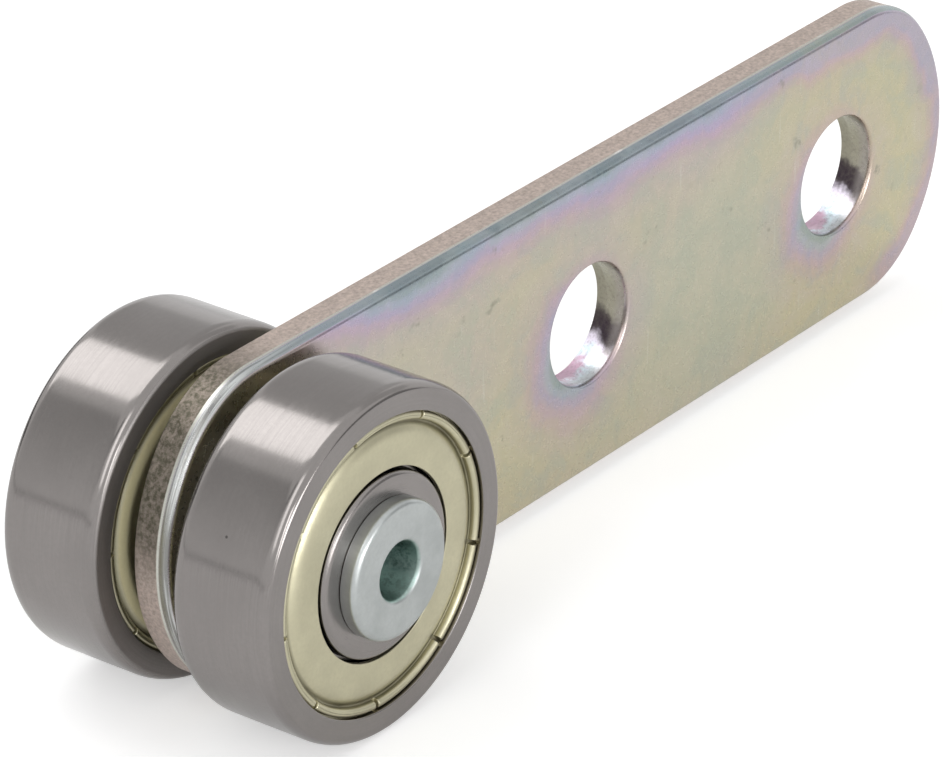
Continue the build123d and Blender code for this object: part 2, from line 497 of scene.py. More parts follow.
def turned_points(section, angles, lower=None):
    """Points of a section turned about the axle: a point at place y and radius r goes to
    (r cos t, y, r sin t) for each angle t. Where lower is given, it is a function of the
    angles on the grid that returns how far each point moves along y."""
    y, t = np.meshgrid(section[:, 0], angles, indexing="ij")
    r = np.broadcast_to(section[:, 1:2], y.shape)
    if lower is not None:
        y = y + lower(t)
    return np.stack([r * np.cos(t), y, r * np.sin(t)], axis=-1).reshape(-1, 3)


def turned_piece(name, section, angles=ALL_ROUND, lower=None):
    """Turns a closed section about the axle, as turned_points says."""
    points = turned_points(section, angles, lower)
    return mesh_object(name, points, [grid_faces(len(section), len(angles), True, True)])


def poled_piece(name, section):
    """Turns an open section whose two ends lie on the axle, as turned_points says, with
    one point for each end and triangles from it to the nearest row."""
    inner = section[1:-1]
    body = turned_points(inner, ALL_ROUND)
    poles = np.array([[0, section[0, 0], 0], [0, section[-1, 0], 0]])
    points = np.concatenate([body, poles])
    column = np.arange(AXIS_COLUMNS)
    following = (column + 1) % AXIS_COLUMNS
    last_row = (len(inner) - 1) * AXIS_COLUMNS
    start = np.stack([np.full_like(column, len(body)), column, following], axis=1)
    end = np.stack([np.full_like(column, len(body) + 1), last_row + following, last_row + column], axis=1)
    return mesh_object(name, points, [grid_faces(len(inner), AXIS_COLUMNS, False, True), start, end])


def sewn_mesh(name, patches):
    """Joins patches of points, grids whose columns go round, into one closed mesh whose
    faces look outwards."""
    count = 0
    points = []
    faces = []
    for patch in patches:
        rows, columns = patch.shape[:2]
        faces.append(grid_faces(rows, columns, False, True) + count)
        points.append(patch.reshape(-1, 3))
        count += rows * columns
    mesh = bpy.data.meshes.new(name)
    mesh.from_pydata(np.concatenate(points).tolist(), [], np.concatenate(faces).tolist())
    shape = bmesh.new()
    shape.from_mesh(mesh)
    bmesh.ops.remove_doubles(shape, verts=shape.verts, dist=0.002 * MM)
    bmesh.ops.dissolve_degenerate(shape, edges=shape.edges, dist=0.001 * MM)
    bmesh.ops.recalc_face_normals(shape, faces=shape.faces)
    if shape.calc_volume(signed=True) < 0:
        bmesh.ops.reverse_faces(shape, faces=shape.faces)
    open_edges = sum(1 for side in shape.edges if not side.is_manifold)
    shape.to_mesh(mesh)
    shape.free()
    if open_edges:
        raise RuntimeError(f"the mesh of {name} has {open_edges} open edges")
    mesh.polygons.foreach_set("use_smooth", np.ones(len(mesh.polygons), dtype=bool))
    return mesh


def finish_piece(piece, body, slot, material, *nodes):
    """Gives a piece its material and its body, and hides the CAD nodes it stands for. The slot is not used.
    """
    piece.data.materials.clear()
    piece.data.materials.append(material)
    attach(piece, body)
    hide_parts(*nodes)


# Shading tools


class NodeBench:
    """A shader node tree being wired up, with a short name for each kind of node that
    the finishes use. A value may be a number, a colour, a vector or another socket."""

    def __init__(self, tree):
        self.tree = tree

    def feed(self, socket, value):
        """Links a socket to another one, or sets its value."""
        if isinstance(value, bpy.types.NodeSocket):
            self.tree.links.new(value, socket)
        elif socket.type == "RGBA":
            socket.default_value = (*value, 1.0)
        else:
            socket.default_value = value

    def node(self, kind, inputs=(), **settings):
        """Adds a node, sets its settings and then feeds its inputs, by name or number."""
        made = self.tree.nodes.new("ShaderNode" + kind)
        for label, value in settings.items():
            setattr(made, label, value)
        for label, value in dict(inputs).items():
            self.feed(made.inputs[label], value)
        return made

    def math(self, operation, *values, clamp=False):
        """Adds a Math node."""
        return self.node("Math", enumerate(values), operation=operation, use_clamp=clamp).outputs[0]

    def times(self, first, *others):
        """Multiplies values, two at a time."""
        for other in others:
            first = self.math("MULTIPLY", first, other)
        return first

    def plus(self, first, *others):
        """Adds values up, two at a time."""
        for other in others:
            first = self.math("ADD", first, other)
        return first

    def span(self, value, low, high, to_low=0.0, to_high=1.0, smooth=False):
        """Carries a value from low and high to to_low and to_high, and holds it there."""
        way = "SMOOTHSTEP" if smooth else "LINEAR"
        inputs = {"Value": value, "From Min": low, "From Max": high, "To Min": to_low, "To Max": to_high}
        return self.node("MapRange", inputs, interpolation_type=way, clamp=True).outputs["Result"]

    def window(self, value, rise, fall, floor=0.0):
        """Runs from zero to one over the rise, and from one to the floor over the fall."""
        return self.times(self.span(value, *rise), self.span(value, *fall, 1.0, floor))

    def noise(self, vector, scale, detail=3.0, roughness=0.5, distortion=0.0):
        """Adds a Noise Texture and returns its value."""
        inputs = {"Vector": vector, "Scale": scale, "Detail": detail, "Roughness": roughness}
        return self.node("TexNoise", {**inputs, "Distortion": distortion}).outputs[0]

    def stretched(self, vector, scale, turn=0.0):
        """Turns a vector about the axle and scales it, so a noise on it runs in streaks."""
        inputs = {"Vector": vector, "Rotation": (0.0, turn, 0.0), "Scale": scale}
        return self.node("Mapping", inputs).outputs[0]

    def mix(self, factor, first, second, blend="MIX"):
        """Mixes two colours."""
        inputs = {0: factor, 6: first, 7: second}
        return self.node("Mix", inputs, data_type="RGBA", blend_type=blend).outputs[2]

    def share(self, factor, first, second):
        """Mixes two numbers."""
        return self.node("Mix", {0: factor, 2: first, 3: second}).outputs[0]

    def ramp(self, factor, stops):
        """Adds a colour ramp with the given stops of place and colour."""
        made = self.node("ValToRGB", {"Fac": factor})
        made.color_ramp.interpolation = "EASE"
        elements = made.color_ramp.elements
        while len(elements) < len(stops):
            elements.new(1.0)
        for element, (place, colour) in zip(elements, stops):
            element.position = place
            element.color = (*colour, 1.0)
        return made.outputs["Color"]

    def attribute(self, label):
        """Reads a value that the mesh carries at its points."""
        return self.node("Attribute", attribute_name=label).outputs["Fac"]

    def point(self):
        """The object's own coordinates, in metres."""
        return self.node("TexCoord").outputs["Object"]

    def place(self):
        """The object's own coordinates as a point, and its x, y and z."""
        point = self.point()
        return (point, *self.node("SeparateXYZ", {0: point}).outputs)

    def from_axle(self, x, z):
        """Distance from the axle, the root of the sum of x squared and z squared."""
        return self.math("SQRT", self.math("MULTIPLY_ADD", z, z, self.times(x, x)))

    def mottle(self, coarse, fine):
        """Patches and grain of the Plate Mottle group."""
        group = bpy.data.node_groups["Plate Mottle"]
        made = self.node("Group", {"Coarse Scale": coarse, "Fine Scale": fine}, node_tree=group)
        return made.outputs["Patches"], made.outputs["Grain"]

    def turned_lines(self, scale, streak):
        """Value of the Turned Lines group."""
        group = bpy.data.node_groups["Turned Lines"]
        return self.node("Group", {"Scale": scale, "Streak": streak}, node_tree=group).outputs[0]


class Metal(NodeBench):
    """A bare metal material being made."""

    def __init__(self, name, colour, roughness):
        self.material = bpy.data.materials.new(name)
        self.material.use_nodes = True
        super().__init__(self.material.node_tree)
        self.shader = self.tree.nodes["Principled BSDF"].inputs
        for label, value in (("Metallic", 1.0), ("Base Color", colour), ("Roughness", roughness)):
            self.feed(self.shader[label], value)

    def finish(self, colour, roughness, height, strength, distance):
        """Feeds the colour, the roughness and the bump to the shader."""
        bump = self.node("Bump", {"Height": height, "Strength": strength, "Distance": distance})
        fed = {"Base Color": colour, "Roughness": roughness, "Normal": bump.outputs["Normal"]}
        for label, value in fed.items():
            self.feed(self.shader[label], value)
        return self.material


def new_group(name, inputs, outputs):
    """Starts a node group of numbers, with a default for each input. Returns it with its
    input and its output node."""
    group = bpy.data.node_groups.new(name, "ShaderNodeTree")
    for label, value in inputs.items():
        socket = group.interface.new_socket(label, in_out="INPUT", socket_type="NodeSocketFloat")
        socket.default_value = value
    for label in outputs:
        group.interface.new_socket(label, in_out="OUTPUT", socket_type="NodeSocketFloat")
    return group, group.nodes.new("NodeGroupInput"), group.nodes.new("NodeGroupOutput")


def turned_lines_group():
    """Fine lines left by turning or grinding round the axle. A noise reads the radius and
    the place along the axle, and hardly the angle, so its streaks run round the piece."""
    group, start, end = new_group("Turned Lines", {"Scale": 9000.0, "Streak": 0.012}, ["Value"])
    bench = NodeBench(group)
    _, x, y, z = bench.place()
    angle = bench.math("SINE", bench.math("ARCTAN2", z, x))
    streak = bench.times(angle, start.outputs["Streak"])
    along = bench.node("CombineXYZ", {0: bench.from_axle(x, z), 1: y, 2: streak}).outputs[0]
    inputs = {0: along, "Scale": start.outputs["Scale"]}
    scaled = bench.node("VectorMath", inputs, operation="SCALE").outputs[0]
    bench.feed(end.inputs["Value"], bench.noise(scaled, 1.0, 2.0))


def mottle_group():
    """Uneven look of a plated or rolled surface: a coarse noise for its patches and a
    fine one for its grain, each stretched to run from 0 to 1."""
    scales = {"Coarse Scale": 120.0, "Fine Scale": 2500.0}
    group, start, end = new_group("Plate Mottle", scales, ["Patches", "Grain"])
    bench = NodeBench(group)
    point = bench.point()
    coarse = bench.noise(point, start.outputs["Coarse Scale"], 3.0)
    fine = bench.noise(point, start.outputs["Fine Scale"], 4.0, 0.6)
    bench.feed(end.inputs["Patches"], bench.span(coarse, 0.32, 0.68))
    bench.feed(end.inputs["Grain"], bench.span(fine, 0.3, 0.7))


def shade(colour, factor):
    """A colour made lighter or darker by a factor."""
    return tuple(min(1.0, c * factor) for c in colour)


# Finishes


def ground_steel(name, colour, roughness=0.14):
    """Ground bearing steel: fine lines round the axle in the colour, the roughness and
    the bump, faint stains, and one small pit in the front tread. The rear bearing's face
    beside the strap is left duller."""
    steel = Metal(name, colour, roughness)
    point, _, y, _ = steel.place()
    lines = steel.turned_lines(9000.0, 0.0003)
    patches, grain = steel.mottle(260.0, 4200.0)
    dark = shade(colour, 0.84)
    stained = steel.mix(patches, shade(colour, 0.95), shade(colour, 1.05))
    grainy = steel.mix(steel.times(grain, 0.35), stained, dark)
    lined = steel.mix(steel.span(lines, 0.35, 0.7, 0.0, 0.3), grainy, dark)
    to_pit = steel.node("VectorMath", {0: point, 1: TREAD_PIT}, operation="DISTANCE").outputs["Value"]
    pit = steel.span(to_pit, 0.06 * MM, 0.11 * MM, 0.75, 0.0)
    pitted = steel.mix(pit, lined, shade(colour, 0.15))
    side = depth_of("rear_outer_ring")[0]
    rise = (side - 0.2 * MM, side - 0.1 * MM)
    on_side = steel.window(y, rise, (side + 0.04 * MM, side + 0.14 * MM))
    rough = steel.span(lines, 0.3, 0.7, roughness - 0.02, roughness + 0.06)
    rough = steel.math("MULTIPLY_ADD", on_side, 0.36, rough)
    height = steel.math("MULTIPLY_ADD", grain, 0.35, lines)
    return steel.finish(pitted, rough, height, 0.14, 0.002 * MM)


def pressed_sheet(name, colour):
    """Pale yellow pressed sheet of the shields: soft patches, a fine rolled grain, and painted shade
    darkening the groove before the curl. The crown that faces the strap's gap is duller, and painted paler
    as painted light."""
    sheet = Metal(name, colour, 0.4)
    _, x, y, z = sheet.place()
    radius = sheet.from_axle(x, z)
    patches, grain = sheet.mottle(420.0, 4200.0)
    patched = sheet.mix(patches, shade(colour, 0.93), shade(colour, 1.07))
    grained = sheet.mix(sheet.times(grain, 0.35), patched, shade(colour, 0.86))
    # Painted shade: the groove before the curl is darkened, more in some patches than others
    groove = sheet.window(radius, (8.32 * MM, 8.50 * MM), (8.66 * MM, 8.74 * MM))
    groove = sheet.times(groove, sheet.span(patches, 0.0, 1.0, 0.55, 0.9))
    side = depth_of("rear_outer_ring")[0]
    # Painted light: the crown in the strap's gap is made paler, and it is also made rougher
    in_gap = sheet.window(y, (side - 0.2 * MM, side - 0.1 * MM), (side + 1.0 * MM, side + 1.2 * MM))
    crown = sheet.window(radius, (7.35 * MM, 7.75 * MM), (8.2 * MM, 8.35 * MM))
    painted_light_dull_crown = sheet.times(in_gap, crown)
    shaded_and_lit = sheet.mix(groove, sheet.mix(painted_light_dull_crown, grained, shade(colour, 1.45)), GROOVE_SHADE)
    dull = sheet.span(grain, 0.0, 1.0, 0.34, 0.44)
    rough = sheet.math("MULTIPLY_ADD", painted_light_dull_crown, 0.42, dull)
    return sheet.finish(shaded_and_lit, rough, grain, 0.08, 0.003 * MM)


def zinc_rivet(name, colour, hole_radius):
    """Bluish zinc of the rivet: cloudy patches over a dull grain, paler towards the upper near side, and
    faint turned lines. Painted shade darkens the wall of the centre hole, and a painted glint lies low in
    it."""
    zinc = Metal(name, colour, 0.34)
    _, x, y, z = zinc.place()
    patches, grain = zinc.mottle(650.0, 3600.0)
    lines = zinc.turned_lines(7000.0, 0.0004)
    patched = zinc.mix(patches, shade(colour, 0.92), shade(colour, 1.10))
    drift = zinc.span(zinc.math("SUBTRACT", z, x), -5 * MM, 5 * MM)
    patched = zinc.mix(zinc.times(drift, 0.5), patched, shade(colour, 1.22))
    grained = zinc.mix(zinc.times(grain, 0.4), patched, shade(colour, 0.86))
    face = depth_of("axle_rivet")[0]
    in_front = zinc.span(y, face + 3.2 * MM, face + 3.3 * MM, 1.0, 0.0)
    in_hole = zinc.span(zinc.from_axle(x, z), hole_radius, hole_radius + 0.09 * MM, 1.0, 0.0)
    in_hole = zinc.times(in_hole, in_front)
    # Painted shade: the hole's wall darkens with depth, and less again towards its floor
    deep = zinc.span(y, face + 0.4 * MM, face + 1.2 * MM)
    deep = zinc.math("SUBTRACT", deep, zinc.span(y, face + 1.4 * MM, face + 2.2 * MM, 0.0, 0.55))
    streak = zinc.span(grain, 0.3, 0.8, -0.3, 0.25)
    hole_shade = zinc.math("ADD", zinc.math("MULTIPLY_ADD", deep, 0.66, 0.06), streak, clamp=True)
    hole_shade = zinc.times(in_hole, hole_shade)
    hole_shade_and_glint = zinc.mix(hole_shade, zinc.mix(in_hole, grained, HOLE_ZINC), HOLE_SHADE)
    # Painted glint: a paler patch low in the hole
    glint = zinc.times(in_hole, zinc.span(z, -0.7 * MM, -1.2 * MM, 0.0, 0.75), zinc.span(grain, 0.25, 0.6))
    hole_shade_and_glint = zinc.mix(glint, hole_shade_and_glint, HOLE_GLINT)
    rough = zinc.span(patches, 0.0, 1.0, 0.42, 0.28)
    height = zinc.math("MULTIPLY_ADD", lines, 0.5, grain)
    return zinc.finish(hole_shade_and_glint, rough, height, 0.25, 0.006 * MM)


def plate_body(zinc, settings, place, patches, drift, broad):
    """Colour of the plate under its film: olive to pinkish beige in large patches, yellower
    low down and at the far end, greyer round one spot between the holes, and small clouds
    of a greener and a warmer tone all over."""
    point, x, _, z = place
    body = zinc.mix(patches, tuple(settings.plate_colour), tuple(settings.warm_colour))
    low_down = zinc.span(z, 3 * MM, -9 * MM, -0.1, 0.55, smooth=True)
    beyond = zinc.span(x, 49 * MM, 60 * MM, 0.0, 0.62, smooth=True)
    yellowing = zinc.plus(low_down, beyond, zinc.span(broad, 0.3, 0.7, -0.3, 0.45))
    yellowing = zinc.math("MINIMUM", zinc.math("MAXIMUM", yellowing, 0.0), 0.85)
    body = zinc.mix(yellowing, body, tuple(settings.yellow_colour))
    off_x = zinc.math("DIVIDE", zinc.math("SUBTRACT", x, 44.5 * MM), 10 * MM)
    off_z = zinc.math("DIVIDE", zinc.plus(z, 2.5 * MM), 8 * MM)
    away = zinc.math("MULTIPLY_ADD", off_x, off_x, zinc.times(off_z, off_z))
    away = zinc.plus(away, zinc.span(drift, 0.3, 0.7, -0.35, 0.35))
    body = zinc.mix(zinc.span(away, 0.1, 1.2, 0.75, 0.0, smooth=True), body, GREY_PATCH)
    cloud = zinc.noise(point, 430.0, 4.0, 0.62, 0.5)
    body = zinc.mix(zinc.span(cloud, 0.48, 0.64, 0.0, 0.55), body, CLOUD_GREEN)
    return zinc.mix(zinc.span(cloud, 0.50, 0.36, 0.0, 0.45), body, CLOUD_WARM)


def plate_film(zinc, place, rim, hole, drift, on_roll):
    """Colour that the thinning film gives the plate. It runs from none through pink and
    lilac to blue grey, the nearer the outline or a fixing hole, most along the upper edge,
    round the far end and on the rolled edge."""
    _, x, y, z = place
    front = depth_of("strap")[0]
    wobble = zinc.span(drift, 0.3, 0.7, -0.6, 0.6)
    rim_far = zinc.plus(rim, wobble)
    upper = zinc.span(z, -6 * MM, 4 * MM, 0.25, 1.0, smooth=True)
    far_end = zinc.span(x, 58 * MM, 66 * MM, smooth=True)
    rim_share = zinc.math("MAXIMUM", upper, zinc.times(far_end, 0.9))
    along_top = zinc.times(zinc.span(rim_far, 0.0, 5.0, 1.0, 0.0), rim_share)
    at_far_end = zinc.times(zinc.span(rim_far, 1.3, 3.9, 0.79, 0.0), rim_share)
    rim_film = zinc.share(zinc.span(x, 40 * MM, 60 * MM, smooth=True), along_top, at_far_end)
    rim_film = zinc.times(rim_film, zinc.span(x, -4 * MM, 14 * MM, 0.3, 1.0, smooth=True))
    hole_film = zinc.span(zinc.plus(hole, wobble), -1.45, 4.5, 0.96, 0.0)
    film = zinc.math("MAXIMUM", rim_film, hole_film, clamp=True)
    film = zinc.times(film, zinc.span(y, front + 0.62 * MM, front + 0.72 * MM, 1.0, 0.3))
    film = zinc.math("MAXIMUM", film, zinc.times(on_roll, 0.93))
    return zinc.ramp(film, FILM_STOPS)


def rolled_edge(zinc, place, rim, on_roll, filmed):
    """Works the blanked edge into the film's colour: bright and dark streaks along the roll at the near end
    with painted shade low on it, then the burnished land behind the roll, painted light as a highlight
    line, and its nicks, painted near white as glints."""
    point, x, y, z = place
    front = depth_of("strap")[0]
    at_near_end = zinc.times(on_roll, zinc.span(x, -4 * MM, 7 * MM, 0.85, 0.0, smooth=True))
    streak = zinc.noise(zinc.stretched(point, (170.0, 7000.0, 170.0)), 1.0, 2.0)
    streaked = zinc.mix(zinc.span(streak, 0.42, 0.60), ROLL_DARK_STREAK, ROLL_BRIGHT_STREAK)
    filmed = zinc.mix(at_near_end, filmed, streaked)
    # Painted shade: the middle of the roll at the near end, between the wheels, is darkened towards its
    # back
    tip_shade = zinc.window(z, (-6 * MM, -2 * MM), (2.5 * MM, 5.5 * MM))
    tip_shade = zinc.times(tip_shade, zinc.span(x, -7.5 * MM, -5.5 * MM, 0.85, 0.0))
    tip_shade = zinc.times(tip_shade, zinc.span(y, front + 0.25 * MM, front + 0.5 * MM), on_roll)
    filmed = zinc.mix(tip_shade, filmed, ROLL_SHADE)
    # The burnished land gets a light colour that paints the highlight line along it
    land = zinc.window(y, (front + 0.62 * MM, front + 0.70 * MM), (front + 0.85 * MM, front + 0.90 * MM))
    land = zinc.times(land, zinc.span(rim, 0.15, 0.25, 1.0, 0.0))
    filmed = zinc.mix(zinc.times(land, 0.85), filmed, LAND_AND_PAINTED_HIGHLIGHT)
    # Its nicks are painted near white as glints
    nick = zinc.span(zinc.noise(point, 380.0, 2.0), 0.66, 0.70)
    return zinc.mix(zinc.times(nick, land, 0.8), filmed, NICK_PAINTED_GLINT)


def plate_wear(zinc, point, plate, drift, broad, filmed):
    """Adds the plate's small dark smudges and its faint slanting scratches."""
    smudge = zinc.span(zinc.noise(point, 620.0, 3.0, 0.6), 0.66, 0.74)
    smudge = zinc.times(smudge, zinc.span(broad, 0.45, 0.6), 0.5)
    filmed = zinc.mix(smudge, filmed, shade(plate, 0.42))
    slanting = zinc.stretched(point, (3600.0, 3600.0, 260.0), radians(22.0))
    scratch = zinc.span(zinc.noise(slanting, 1.0, 1.0, 0.4), 0.69, 0.74)
    scratch = zinc.times(scratch, zinc.span(drift, 0.5, 0.62), 0.22)
    return zinc.mix(scratch, filmed, FAINT_SCRATCH)


def torn_edge(zinc, place, edge, speck):
    """Colour of the torn part of the blanked edge, with dark blotches at the upper near
    end."""
    point, x, _, z = place
    torn = zinc.mix(zinc.span(speck, 0.35, 0.65), shade(edge, 0.72), shade(edge, 1.18))
    dull = zinc.span(x, -3 * MM, 4 * MM, 1.0, 0.0, smooth=True)
    dull = zinc.times(dull, zinc.span(z, -2 * MM, 3 * MM, smooth=True))
    blotch = zinc.noise(point, 3000.0, 4.0, 0.7)
    return zinc.mix(zinc.times(dull, zinc.span(blotch, 0.40, 0.60, 0.62, 1.0)), torn, TORN_BLOTCH)


def bore_reflection(zinc, place, speck):
    """Painted reflections on the fixing holes' walls by height: pink, pale blue and lilac painted
    highlights low down, then a nearly black band of painted shade, then olive, with a slant, a wavering
    line and fine specks."""
    point, _, y, z = place
    wavy = zinc.noise(point, 900.0, 3.0, 0.6)
    slant = zinc.span(y, -0.6 * MM, 0.6 * MM, 0.6 * MM, 0.0)
    height = zinc.plus(z, zinc.span(wavy, 0.3, 0.7, -0.3 * MM, 0.3 * MM), slant)
    # The ramp paints the wall's reflections: highlights low down and a dark band of shade
    wall_reflection = zinc.ramp(zinc.span(height, -4 * MM, 4 * MM), BORE_REFLECTION_STOPS)
    wall_reflection = zinc.mix(zinc.span(y, 0.0, -0.7 * MM, 0.0, 0.55, smooth=True), wall_reflection, BORE_FRONT)
    return zinc.mix(zinc.span(speck, 0.48, 0.66, 0.0, 0.35), wall_reflection, BORE_SPECK)


def plated_strap(name, settings):
    """Yellow passivated zinc of the strap. The mesh carries each point's distances from the outline and
    from the fixing holes, and marks the torn edge and the holes' walls, and the colours of plate, film,
    rolled edge, torn edge and walls follow them. The rolled edge and the walls carry painted shade and
    painted highlights. The torn part is rougher."""
    plate = tuple(settings.plate_colour)
    zinc = Metal(name, plate, 0.3)
    place = zinc.place()
    point, _, y, _ = place
    rim = zinc.attribute("rim_distance")
    hole = zinc.attribute("hole_distance")
    torn = zinc.attribute("torn_edge")
    bore = zinc.attribute("bore_wall")
    patches, grain = zinc.mottle(75.0, 2600.0)
    drift = zinc.noise(point, 160.0, 4.0, 0.55, 0.4)
    broad = zinc.noise(point, 60.0, 2.0, 0.5, 0.6)
    speck = zinc.noise(point, 4200.0, 5.0, 0.7)
    front = depth_of("strap")[0]
    fall = (front + 0.58 * MM, front + 0.72 * MM)
    on_roll = zinc.window(y, (front + 0.02 * MM, front + 0.12 * MM), fall, 0.35)
    on_roll = zinc.times(on_roll, zinc.span(rim, 0.5, 0.8, 1.0, 0.0))

    body = plate_body(zinc, settings, place, patches, drift, broad)
    tint = plate_film(zinc, place, rim, hole, drift, on_roll)
    filmed = rolled_edge(zinc, place, rim, on_roll, zinc.mix(1.0, body, tint, "MULTIPLY"))
    filmed = plate_wear(zinc, point, plate, drift, broad, filmed)
    edged = zinc.mix(torn, filmed, torn_edge(zinc, place, tuple(settings.edge_colour), speck))
    # The fixing holes' walls get their painted reflections
    edged = zinc.mix(bore, edged, bore_reflection(zinc, place, speck))
    grained = zinc.mix(zinc.times(grain, 0.12), edged, shade(plate, 0.85))
    rough = zinc.math("MULTIPLY_ADD", torn, 0.22, zinc.span(grain, 0.0, 1.0, 0.24, 0.34))
    height = zinc.math("MULTIPLY_ADD", grain, 0.28, zinc.times(speck, torn, 9.0))
    return zinc.finish(grained, rough, height, 0.2, 0.006 * MM)


def ball_steel(name):
    """Lapped steel of the balls: nearly a mirror, with the faintest haze."""
    steel = Metal(name, (0.56, 0.56, 0.56), 0.06)
    patches, grain = steel.mottle(900.0, 6000.0)
    hazed = steel.mix(patches, (0.54, 0.54, 0.54), (0.58, 0.58, 0.58))
    return steel.finish(hazed, steel.span(patches, 0.0, 1.0, 0.04, 0.09), grain, 0.03, 0.001 * MM)


def dress_node(node, material):
    """Puts a material in every slot of a CAD node's object."""
    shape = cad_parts[node]
    if not shape.material_slots:
        shape.data.materials.append(material)
    for holder in shape.material_slots:
        holder.link = "OBJECT"
        holder.material = material


# The strap's outline, as points of x and z


def arc_run(x, z, radius, start, stop, count):
    """Points of an arc about a centre, without its last point."""
    angle = np.linspace(start, stop, count + 1)[:-1]
    return np.stack([x + radius * np.cos(angle), z + radius * np.sin(angle)], axis=1)


def level_run(x_start, x_stop, z, count):
    """Evenly spaced points of a level edge, without the last one."""
    x = np.linspace(x_start, x_stop, count + 1)[:-1]
    return np.stack([x, np.full_like(x, z)], axis=1)


def dividing_run(x, top, rising):
    """Points of an upright dividing line between the two edges, ends left out."""
    z = np.linspace(top, -top, DIVIDING_STEPS)[1:-1]
    run = np.stack([np.full_like(z, x), z], axis=1)
    return run[::-1] if rising else run


class StrapOutline:
    """The strap's outline and its division into three parts, one round each hole. Each
    end is a wide arc, which two tighter arcs join to the straight edges."""

    def __init__(self, size):
        self.half = size.width / 2
        self.inset = size.corner_inset
        self.end_radius = self.half + size.end_flattening
        self.corner_radius = self.half - self.inset
        self.reach = sqrt((self.end_radius - self.corner_radius) ** 2 - self.inset**2)
        self.far_centre = size.far_reach - self.end_radius
        self.near_centre = self.end_radius - size.near_reach
        middle = size.first_hole + size.hole_spacing / 2
        self.divisions = (size.first_hole * FIRST_DIVISION, middle)

    def runs(self, inwards):
        """The outline moved inwards, in four runs that start where the plate is divided:
        round the near end, along the top, round the far end and back along the bottom.
        Lines keep their places and arcs their centres."""
        top = self.half - inwards
        corner = self.corner_radius - inwards
        end = self.end_radius - inwards
        turn = np.arctan2(self.inset, self.reach)
        first, second = self.divisions
        near = self.near_centre - self.reach
        far = self.far_centre + self.reach
        near_end = [
            level_run(first, near, -top, EDGE_STEPS),
            arc_run(near, -self.inset, corner, -pi / 2, -pi + turn, CORNER_STEPS),
            arc_run(self.near_centre, 0, end, -pi + turn, -pi - turn, END_STEPS),
            arc_run(near, self.inset, corner, pi - turn, pi / 2, CORNER_STEPS),
            level_run(near, first, top, EDGE_STEPS),
        ]
        far_end = [
            level_run(second, far, top, EDGE_STEPS),
            arc_run(far, self.inset, corner, pi / 2, turn, CORNER_STEPS),
            arc_run(self.far_centre, 0, end, turn, -turn, END_STEPS),
            arc_run(far, -self.inset, corner, -turn, -pi / 2, CORNER_STEPS),
            level_run(far, second, -top, EDGE_STEPS),
        ]
        upper = level_run(first, second, top, MIDDLE_STEPS)
        lower = level_run(second, first, -top, MIDDLE_STEPS)
        return [np.concatenate(near_end), upper, np.concatenate(far_end), lower]

    def cells(self, inwards):
        """Closed outlines of the three parts of the plate, one round each hole."""
        near, upper, far, lower = self.runs(inwards)
        top = self.half - inwards
        first, second = self.divisions
        corners = np.array([[first, top], [second, top], [second, -top], [first, -top]])
        near_down, near_up = (dividing_run(first, top, rising) for rising in (False, True))
        far_down, far_up = (dividing_run(second, top, rising) for rising in (False, True))
        return (
            np.concatenate([near, corners[0:1], near_down]),
            np.concatenate([upper, corners[1:2], far_down, lower, corners[3:4], near_up]),
            np.concatenate([far, corners[2:3], far_up]),
        )


def quarter_turn(steps=9):
    """One less the sine and one less the cosine over a quarter turn, for rounded edges."""
    angle = np.linspace(0, pi / 2, steps)
    return 1 - np.sin(angle), 1 - np.cos(angle)


def edge_profile(size, front, back):
    """Profile of the strap's outer edge, as rows of inset and place along the axle. A
    quarter of an ellipse rolls over from the front face, a nearly level torn part
    follows, and a small quarter round ends it at the back face."""
    inwards, behind = quarter_turn()
    roll = np.stack([size.roll_height * inwards, front + size.roll_depth * behind], axis=1)
    tear = front + size.roll_depth + 0.12 * MM
    torn = [[0.0, tear - 0.06 * MM], [0.0, tear], [0.03 * MM, tear + 0.12 * MM]]
    torn.append([EDGE_TAPER, back - 0.35 * MM])
    burr = np.stack([EDGE_TAPER + BACK_ROUND * behind, back - BACK_ROUND * inwards], axis=1)
    return np.concatenate([roll, torn, burr])


def hole_profile(radius, rim_height, rim_depth, front, back):
    """Profile of a hole's wall, as rows of radius and place along the axle: a quarter of
    an ellipse at the front rim, a wall that opens a little in its rear half, and a small
    quarter round at the back rim."""
    inwards, behind = quarter_turn()
    rim = np.stack([radius + rim_height * inwards, front + rim_depth * behind], axis=1)
    wide = radius + HOLE_TAPER
    wall = [[radius, front + rim_depth + 0.05 * MM], [radius, 0.35 * MM]]
    wall += [[radius + 0.04 * MM, 0.5 * MM], [wide, back - 0.3 * MM]]
    out = np.stack([wide + BACK_ROUND * behind, back - BACK_ROUND * inwards], axis=1)
    return np.concatenate([rim, wall, out])


